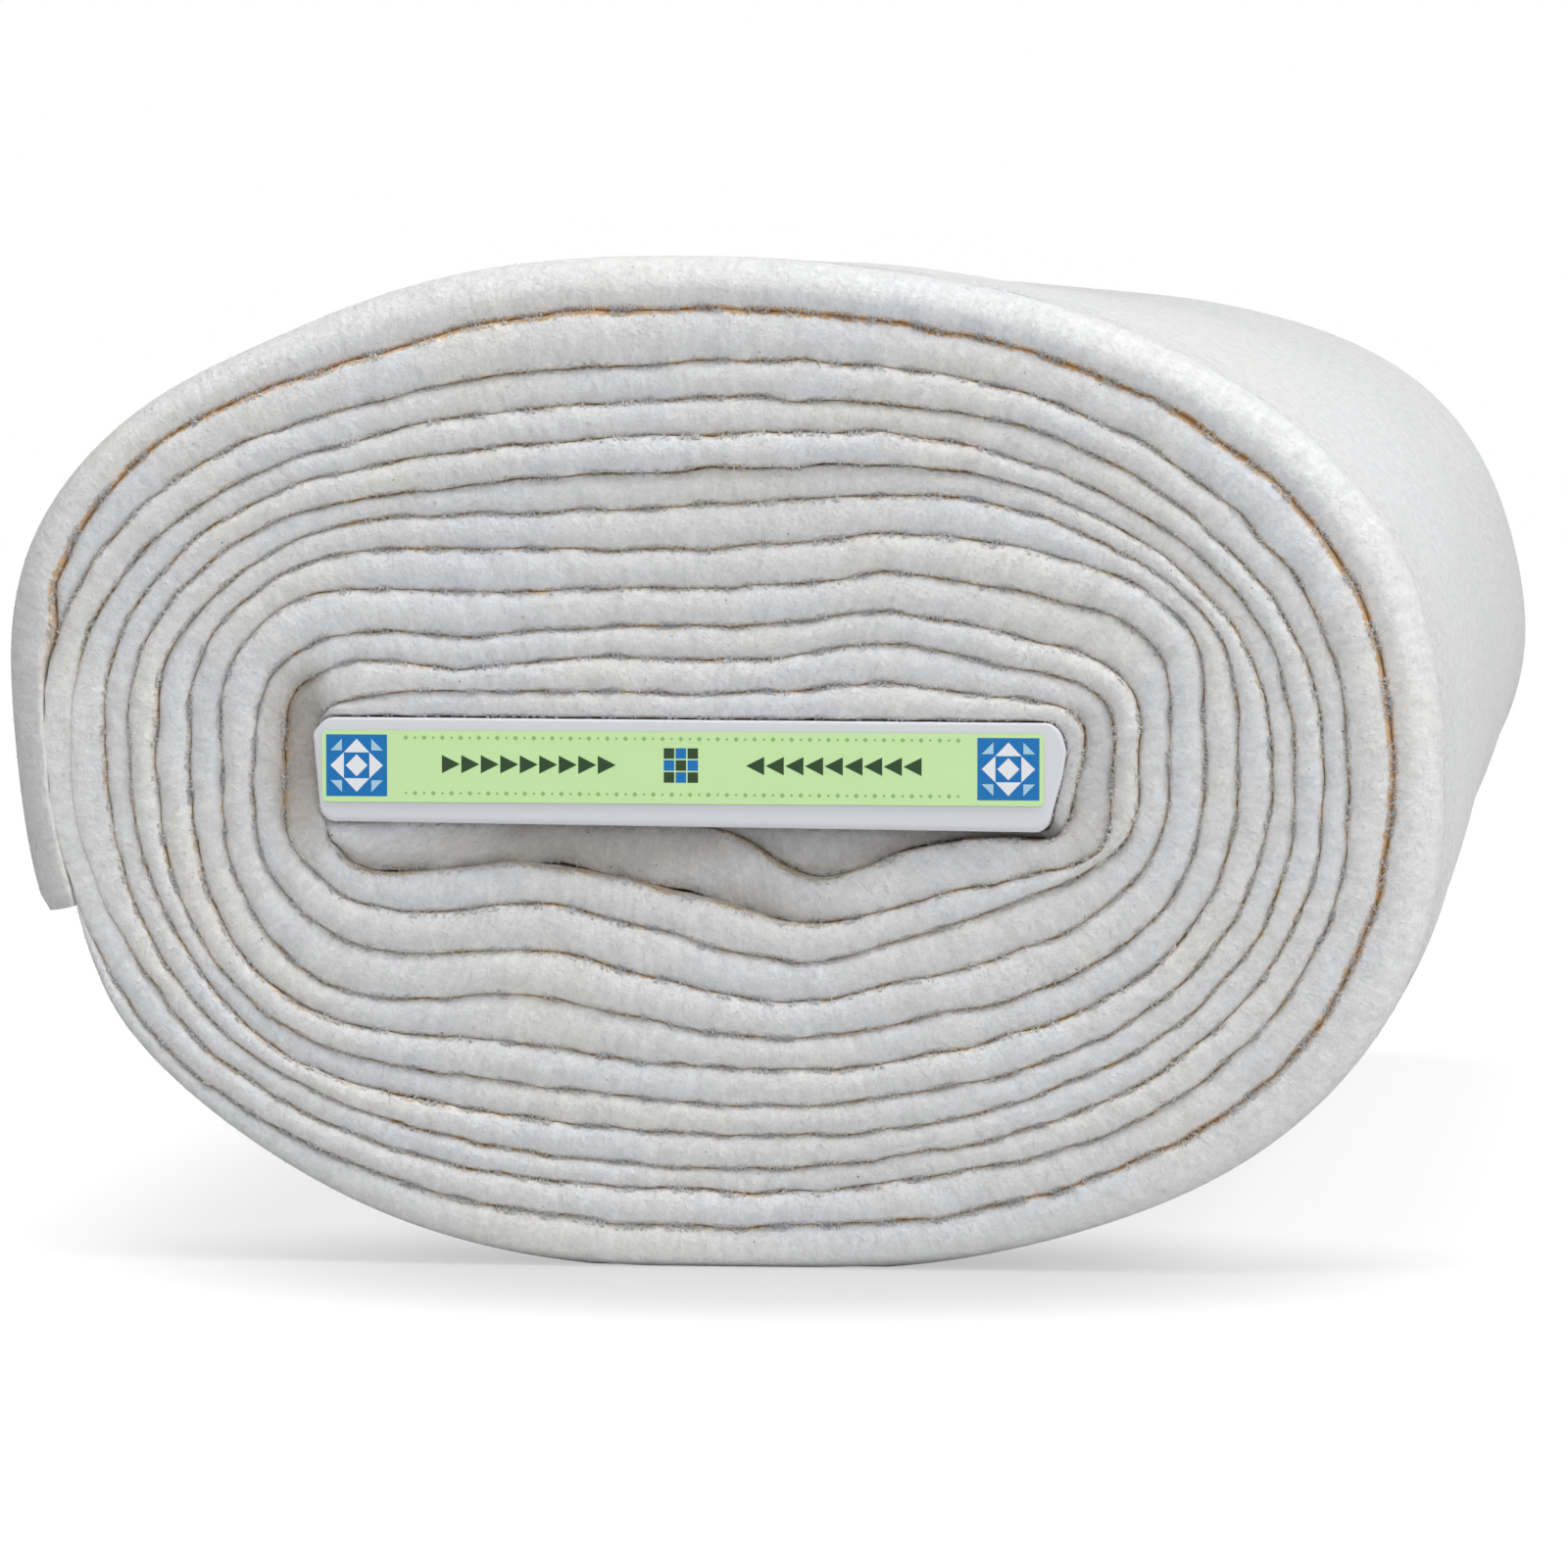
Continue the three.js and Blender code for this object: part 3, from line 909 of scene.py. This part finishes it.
def new_group(name, inputs, outputs):
    """A shader node group with named sockets: each input by its kind and usual value, and each
    output by its kind. Returns the group, its inputs' sources and its outputs' sockets."""
    group = bpy.data.node_groups.new(name, "ShaderNodeTree")
    for socket_name, (kind, value) in inputs.items():
        socket = group.interface.new_socket(socket_name, in_out="INPUT", socket_type="NodeSocket" + kind)
        if value is not None:
            socket.default_value = value
    for socket_name, kind in outputs.items():
        group.interface.new_socket(socket_name, in_out="OUTPUT", socket_type="NodeSocket" + kind)
    given = group.nodes.new("NodeGroupInput").outputs
    return group, given, group.nodes.new("NodeGroupOutput").inputs


# The batting's colours: the felt's warm and cool tints; the painted crease shade in the gaps, in
# the outermost gap and at its deepest; how much darker the painted shade in the hollows by the
# board is; and how much lighter the painted light makes the outer face
WARM = (0.80, 0.785, 0.75, 1)
COOL = (0.735, 0.75, 0.79, 1)
# Tints of the painted crease shade: tan, orange in the outermost gap, and at its deepest
TAN = (0.62, 0.50, 0.35, 1)
ORANGE_SHADE = (0.68, 0.42, 0.19, 1)
DEEP_TAN = (0.30, 0.21, 0.13, 1)
# The painted shade in the hollows by the board, brownish grey
HOLLOW_SHADE = (0.66, 0.62, 0.57, 1)
# Painted light: how much lighter the outer face is made
OUTER_LIGHT = (1.07, 1.07, 1.06, 1)

# The painted shade in the hollows by the board, a brownish grey: x, z, half width and half height
# of a soft oval from the board's middle, in millimetres, and how much
HOLLOW_SHADE_PLACES = ((-113, 5, 11, 30, 1.0), (-22, -20, 45, 9, 0.75), (113, 0, 12, 26, 0.4))

# How far from a gap the painted crease shade begins and is full, and its deepest part likewise;
# how far its edge is ragged and uneven, how much wider the orange one in the outermost gap is,
# and the turns over which the orange sets in
TAN_REACH = (0.85 * MM, 0.2 * MM)
DEEP_REACH = (0.15 * MM, -0.35 * MM)
CREASE_SHADE_RAGGED = 3.2 * MM
CREASE_SHADE_UNEVEN = 1.2 * MM
ORANGE_WIDER = 0.5 * MM
ORANGE_TURNS = (1.85, 1.6)

# The least strength of the painted crease shade where it fades in and out along a gap, how much
# steadier the orange one is, and how much less deep it gets
CREASE_SHADE_LEAST = 0.35
ORANGE_STEADIER = 0.4
ORANGE_LESS_DEEP = 0.55

# Each stretch of the strip has its own tint by this share, and the tint wanders least where there
# is no painted crease shade
OWN_TINT = 0.7
LEAST_WANDER = 0.35

# How slowly the tint changes along the bolt, and the streaks along it and across the thickness,
# next to how they change along the strip
TINT_ALONG_Y = 0.3
STREAK_ALONG_Y = 0.16
STREAK_ACROSS = 0.35

# Random patches of 0 to 1 are spread from this middle part of their noise
PATCH_SPREAD = (0.36, 0.64)


def felt_group():
    """Felted fibre, with fine fibres, soft tufts and streaks that run across the strip. Colour is
    an off white that is lighter and darker by its fibres. Its tint is cool in some patches and
    warm in others: Own Tint takes the place of the patches by Own Share, and Wander says how far
    the tint goes. Height is the relief."""
    group, given, out = new_group(
        "felted_fibre",
        {
            "Vector": ("Vector", None),
            "Streak Vector": ("Vector", None),
            "Fineness": ("Float", 1.0),
            "Own Tint": ("Float", 0.5),
            "Own Share": ("Float", 0.0),
            "Wander": ("Float", 1.0),
        },
        {"Colour": "Color", "Height": "Float"},
    )
    place = put_scale(group, given["Vector"], given["Fineness"])
    fine = put_noise(group, place, scale=700, detail=4, roughness=0.62, distortion=0.6)
    tuft = put_noise(group, place, scale=250, detail=2, distortion=0.6)
    streak = put_noise(group, given["Streak Vector"], scale=420, detail=2)
    height = put_math(group, "MULTIPLY", fine, 0.6)
    height = put_math(group, "MULTIPLY_ADD", tuft, 0.5, height)
    feed(group, out["Height"], put_math(group, "MULTIPLY_ADD", streak, 0.3, height))
    patch = put_noise(group, place, scale=24, detail=3, roughness=0.6, distortion=0.5)
    patch = put_range(group, patch, *PATCH_SPREAD)
    own = put_math(group, "SUBTRACT", given["Own Tint"], patch)
    patch = put_math(group, "MULTIPLY_ADD", own, given["Own Share"], patch)
    patch = put_math(group, "SUBTRACT", patch, 0.5)
    tint = put_mix(group, put_math(group, "MULTIPLY_ADD", patch, given["Wander"], 0.5), COOL, WARM)
    tone = put_math(group, "MULTIPLY", fine, 0.4)
    tone = put_math(group, "MULTIPLY_ADD", streak, 0.3, tone)
    tone = put_math(group, "MULTIPLY_ADD", tuft, 0.3, tone)
    tone = put_range(group, tone, 0.3, 0.7, to_low=0.80, to_high=1.13)
    feed(group, out["Colour"], put_scale(group, tint, tone))
    return group


def paper_group():
    """Paper: a colour made lighter and darker by a faint cloudiness and fine fibre, and a
    relief."""
    group, given, out = new_group(
        "paper_grain",
        {"Vector": ("Vector", None), "Colour": ("Color", (1, 1, 1, 1)), "Unevenness": ("Float", 0.1)},
        {"Colour": "Color", "Height": "Float"},
    )
    fine = put_noise(group, given["Vector"], scale=1500, detail=3, roughness=0.6)
    cloud = put_noise(group, given["Vector"], scale=60, detail=3, roughness=0.6, distortion=0.6)
    both = put_math(group, "MULTIPLY_ADD", cloud, 0.6, put_math(group, "MULTIPLY", fine, 0.4))
    both = put_math(group, "SUBTRACT", both, 0.5)
    tone = put_math(group, "MULTIPLY_ADD", both, given["Unevenness"], 1.0)
    feed(group, out["Colour"], put_scale(group, given["Colour"], tone))
    feed(group, out["Height"], put_math(group, "MULTIPLY_ADD", cloud, 2.0, fine))
    return group


def principled(name, base, roughness, sheen=0.0):
    """A new material with one Principled shader; returns the material, its tree and the shader."""
    material = bpy.data.materials.new(name)
    material.use_nodes = True
    tree = material.node_tree
    shader = tree.nodes["Principled BSDF"]
    shader.inputs["Base Color"].default_value = (*base, 1)
    shader.inputs["Roughness"].default_value = roughness
    shader.inputs["Specular IOR Level"].default_value = 0.25
    shader.inputs["Sheen Weight"].default_value = sheen
    shader.inputs["Sheen Roughness"].default_value = 0.5
    return material, tree, shader


def hollow_shade_share(tree):
    """How much painted shade a place in the hollows by the board gets, 0 to 1: the most of some
    soft ovals seen along the bolt.
    """
    total = 0.0
    for x, z, wide, tall, most in HOLLOW_SHADE_PLACES:
        middle = (CORE_X + x * MM, 0, CORE_Z + z * MM)
        reach = (wide * MM, 0, tall * MM)
        spot = put_oval(tree, middle, reach, near=0.4, far=1.3, at_near=most, at_far=0.0)
        total = put_math(tree, "MAXIMUM", spot, total)
    return total


def batting_material(felt_nodes):
    """The batting: felted off white, with a tan painted crease shade deep in the gaps between
    layers, its edge ragged and more orange in the outermost gap, a brownish grey painted shade in
    the hollows by the board, and a little painted light on the outer face."""
    material, tree, shader = principled("batting_felt", WARM[:3], 0.95, sheen=0.15)
    place = put_place(tree)
    strength, gap_turn, inset, run, across = (
        put_node(tree, "ShaderNodeAttribute", attribute_name=name).outputs["Fac"]
        for name in ("crease_shade", "gap", "inset", "run", "across")
    )
    y = put_node(tree, "ShaderNodeSeparateXYZ", {0: place}).outputs["Y"]
    streak = put_node(tree, "ShaderNodeCombineXYZ", {
        "X": run,
        "Y": put_math(tree, "MULTIPLY", y, STREAK_ALONG_Y),
        "Z": put_math(tree, "MULTIPLY", across, STREAK_ACROSS),
    })
    slow_y = put_math(tree, "MULTIPLY", y, TINT_ALONG_Y)
    lane = put_node(tree, "ShaderNodeCombineXYZ", {"X": run, "Y": slow_y})
    own_tint = put_noise(tree, lane.outputs[0], scale=9, detail=2, roughness=0.6)
    felt = put_node(tree, "ShaderNodeGroup", {
        "Vector": place,
        "Streak Vector": streak.outputs[0],
        "Own Tint": put_range(tree, own_tint, *PATCH_SPREAD),
        "Own Share": OWN_TINT,
        "Wander": put_math(tree, "MULTIPLY_ADD", strength, 1 - LEAST_WANDER, LEAST_WANDER),
    }, node_tree=felt_nodes)
    # Painted crease shade near the gaps: tan, orange in the outermost gap, and deepest at the gap
    ragged = put_noise(tree, place, scale=650, detail=3, roughness=0.65)
    uneven = put_noise(tree, place, scale=60, detail=2)
    reach = put_math(tree, "MULTIPLY_ADD", put_math(tree, "SUBTRACT", ragged, 0.5), CREASE_SHADE_RAGGED, inset)
    reach = put_math(tree, "MULTIPLY_ADD", put_math(tree, "SUBTRACT", uneven, 0.5), CREASE_SHADE_UNEVEN, reach)
    orange_gap = put_range(tree, gap_turn, *ORANGE_TURNS)
    reach = put_math(tree, "MULTIPLY_ADD", orange_gap, -ORANGE_WIDER, reach)
    tan = put_range(tree, reach, *TAN_REACH, soft=True)
    deep = put_range(tree, reach, *DEEP_REACH, soft=True)
    less_deep = put_math(tree, "MULTIPLY_ADD", orange_gap, -ORANGE_LESS_DEEP, 1.0)
    deep = put_math(tree, "MULTIPLY", deep, less_deep)
    hue = put_mix(tree, deep, put_mix(tree, orange_gap, TAN, ORANGE_SHADE), DEEP_TAN)
    fade = put_noise(tree, place, scale=70, detail=3, roughness=0.7)
    least = put_math(tree, "MULTIPLY_ADD", orange_gap, ORANGE_STEADIER, CREASE_SHADE_LEAST)
    fade = put_range(tree, fade, 0.4, 0.6, to_low=least)
    share = put_math(tree, "MULTIPLY", put_math(tree, "MULTIPLY", tan, fade), strength)
    # Painted light: the outer face, and partly where layers meet softly, is made a little lighter
    outer_lit = put_math(tree, "SUBTRACT", 1.0, strength)
    colour = put_mix(tree, outer_lit, felt.outputs["Colour"], OUTER_LIGHT, "MULTIPLY")
    # Painted shade, brownish grey, in the hollows beside and under the board
    colour = put_mix(tree, hollow_shade_share(tree), colour, HOLLOW_SHADE, "MULTIPLY")
    feed(tree, shader.inputs["Base Color"], put_mix(tree, share, colour, hue))
    put_bump(tree, shader, felt.outputs["Height"], 0.9, 1.0 * MM)
    return material


def fibre_material(felt_nodes):
    """Loose fibres: the same felt, coarser."""
    material, tree, shader = principled("loose_fibre", WARM[:3], 0.9, sheen=0.15)
    place = put_place(tree)
    sources = {"Vector": place, "Streak Vector": place, "Fineness": 0.6}
    felt = put_node(tree, "ShaderNodeGroup", sources, node_tree=felt_nodes)
    feed(tree, shader.inputs["Base Color"], felt.outputs["Colour"])
    return material


def speck_material():
    """Seed husk: dull browns that change from grain to grain."""
    material, tree, shader = principled("seed_husk", (0.1, 0.06, 0.03), 0.8)
    share = put_noise(tree, put_place(tree), scale=70, detail=1)
    colour = put_mix(tree, share, (0.03, 0.02, 0.02, 1), (0.34, 0.20, 0.09, 1))
    feed(tree, shader.inputs["Base Color"], colour)
    return material


def paper_material(name, colour, paper_nodes, roughness, unevenness, relief):
    """A paper surface of one colour with its grain; also used for each ink of the print."""
    material, tree, shader = principled(name, colour, roughness)
    sources = {"Vector": put_place(tree), "Colour": (*colour, 1), "Unevenness": unevenness}
    paper = put_node(tree, "ShaderNodeGroup", sources, node_tree=paper_nodes)
    feed(tree, shader.inputs["Base Color"], paper.outputs["Colour"])
    put_bump(tree, shader, paper.outputs["Height"], relief, 0.1 * MM)
    return material


# The paper surfaces' colours, and the inks of the print
WHITE_CARD = (0.74, 0.745, 0.79)
LABEL_PAPER = (0.63, 0.89, 0.44)
INKS = {
    "blue": (0.010, 0.185, 0.52),
    "white": (0.86, 0.88, 0.90),
    "pale": (0.42, 0.66, 0.80),
    "deep": (0.30, 0.56, 0.17),
    "dark": (0.035, 0.075, 0.03),
}

# The floor: half its width, how brightly the camera sees it, how much light it throws back, and
# the soft shade on it before the bolt: its middle in X and from the front end, its half width and
# half depth, and how dark it is
FLOOR_HALF = 9.0
FLOOR_GLOW = 0.93
FLOOR_BOUNCE = (0.66, 0.66, 0.66, 1)
SHADE_X = 0.02
SHADE_Y = -0.02
SHADE_REACH = (0.2, 0.13, 0)
SHADE_DARK = 0.62

# Close to what stands on it the floor darkens: how far it looks round, from and to which open
# share of the space there, and how dark it gets
NEAR_DISTANCE = 0.12
NEAR_OPEN = (0.5, 0.9)
NEAR_DARK = 0.86

# The lamps: name, place, the point it is aimed at, width and watts
LAMPS = (
    ("key", (2.4, -0.8, 2.4), (0, -0.1, 0.15), 1.3, 37),
    ("front", (0.4, -3.0, 1.1), (0, -0.4, 0.15), 1.6, 19),
    ("top", (-0.5, -0.9, 2.4), (0, -0.2, 0.2), 1.4, 24),
)

# The surround's strength at the left and at the right, and where it turns from one to the other
SURROUND = (0.07, 0.60)
SURROUND_TURN = (-0.8, 0.6)


def add_camera():
    """The photograph's view: from the right and a little above, almost square to the front end."""
    camera = bpy.data.objects.new("camera", bpy.data.cameras.new("camera"))
    bpy.context.scene.collection.objects.link(camera)
    bpy.context.scene.camera = camera
    yaw, pitch = np.radians(CAMERA_YAW), np.radians(CAMERA_PITCH)
    ahead = Vector((-np.sin(yaw) * np.cos(pitch), np.cos(yaw) * np.cos(pitch), -np.sin(pitch)))
    camera.rotation_euler = ahead.to_track_quat("-Z", "Y").to_euler()
    aside = Vector((np.cos(yaw), np.sin(yaw), 0))
    upward = aside.cross(ahead)
    core = Vector((CORE_X, FRONT_Y, CORE_Z))
    pull = (
        ahead
        + aside * ((CORE_PIXEL[0] - IMAGE_SIZE / 2) / FOCAL_PIXELS)
        + upward * ((IMAGE_SIZE / 2 - CORE_PIXEL[1]) / FOCAL_PIXELS)
    )
    camera.location = core - pull * CAMERA_DISTANCE
    camera.data.sensor_width = SENSOR
    camera.data.lens = SENSOR * FOCAL_PIXELS / IMAGE_SIZE
    camera.data.clip_end = 60


def add_lamp(name, place, aim, size, watts):
    """A round area lamp at a place, aimed at a point."""
    lamp = bpy.data.objects.new(name, bpy.data.lights.new(name, "AREA"))
    lamp.data.shape = "DISK"
    lamp.data.size = size
    lamp.data.energy = watts
    lamp.location = place
    lamp.rotation_euler = (Vector(aim) - Vector(place)).to_track_quat("-Z", "Y").to_euler()
    bpy.context.scene.collection.objects.link(lamp)


def floor_material():
    """The pale floor: white with a faint glow where the camera sees it, a little darker close to
    what stands on it and in a soft oval before the bolt, and plain pale grey for the light that
    it throws back on the bolt."""
    material, tree, shader = principled("floor_white", (0.2, 0.2, 0.2), 0.9)
    near = put_node(tree, "ShaderNodeAmbientOcclusion", {"Distance": NEAR_DISTANCE}, samples=12)
    near = put_range(tree, near.outputs["AO"], *NEAR_OPEN, to_low=NEAR_DARK)
    middle = (SHADE_X, FRONT_Y + SHADE_Y, 0)
    shade = put_oval(tree, middle, SHADE_REACH, near=0.3, far=1.3, at_near=SHADE_DARK, at_far=1.0)
    feed(tree, shader.inputs["Emission Color"], put_math(tree, "MULTIPLY", near, shade))
    shader.inputs["Emission Strength"].default_value = FLOOR_GLOW
    plain = put_node(tree, "ShaderNodeBsdfDiffuse", {"Color": FLOOR_BOUNCE})
    put_seen(tree, plain.outputs[0], shader.outputs[0], "Material Output")
    return material


def add_world():
    """A white surround: soft light on the bolt, stronger from the right than from the left, and
    plain white where the camera sees it."""
    world = bpy.data.worlds.new("studio")
    bpy.context.scene.world = world
    world.use_nodes = True
    tree = world.node_tree
    soft = tree.nodes["Background"]
    soft.inputs["Color"].default_value = (0.97, 0.985, 1.0, 1)
    heading = put_node(tree, "ShaderNodeTexCoord").outputs["Generated"]
    x = put_node(tree, "ShaderNodeSeparateXYZ", {0: heading}).outputs["X"]
    feed(tree, soft.inputs["Strength"], put_range(tree, x, *SURROUND_TURN, *SURROUND))
    plain = put_node(tree, "ShaderNodeBackground", {"Color": (1, 1, 1, 1), "Strength": 1.0})
    put_seen(tree, soft.outputs[0], plain.outputs[0], "World Output")


add_camera()
felt_nodes = felt_group()
paper_nodes = paper_group()

batting = build_batting()
batting.data.materials.append(batting_material(felt_nodes))
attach(batting, "root")
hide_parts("batting")

fibres = [
    build_tufts("tufts_front", 1.0, TUFTS, 51),
    build_fibres("fibres_front", 1.0, FACE_FIBRES, RIM_FIBRES, 55),
    build_tufts("tufts_back", 0.0, FAR_TUFTS, 61),
    build_fibres("fibres_back", 0.0, FAR_FACE_FIBRES, 0, 65),
]
loose_fibre = fibre_material(felt_nodes)
for piece in fibres:
    piece.data.materials.append(loose_fibre)
specks = build_seed_specks(71)
specks.data.materials.append(speck_material())
for piece in (*fibres, specks):
    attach(piece, "root")

board = build_board()
card = paper_material("white_card", WHITE_CARD, paper_nodes, roughness=0.55, unevenness=0.06, relief=0.35)
board.data.materials.append(card)
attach(board, "root")
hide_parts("board")

label_piece = bpy.data.objects["label"]
label_paper = paper_material(
    "label_paper", LABEL_PAPER, paper_nodes, roughness=0.5, unevenness=0.08, relief=0.2,
)
label_piece.data.materials.clear()
label_piece.data.materials.append(label_paper)

label_print = build_label_print()
for name, colour in INKS.items():
    ink = paper_material("ink_" + name, colour, paper_nodes, roughness=0.45, unevenness=0.08, relief=0.15)
    label_print.data.materials.append(ink)
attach(label_print, "root")

# Floor and light
floor_corners = np.array([(-1, -1, 0), (1, -1, 0), (1, 1, 0), (-1, 1, 0)]) * FLOOR_HALF
floor = new_mesh("floor", floor_corners, [(0, 1, 2, 3)])
floor.data.materials.append(floor_material())
for lamp in LAMPS:
    add_lamp(*lamp)
add_world()
bpy.context.scene.view_settings.view_transform = "Standard"
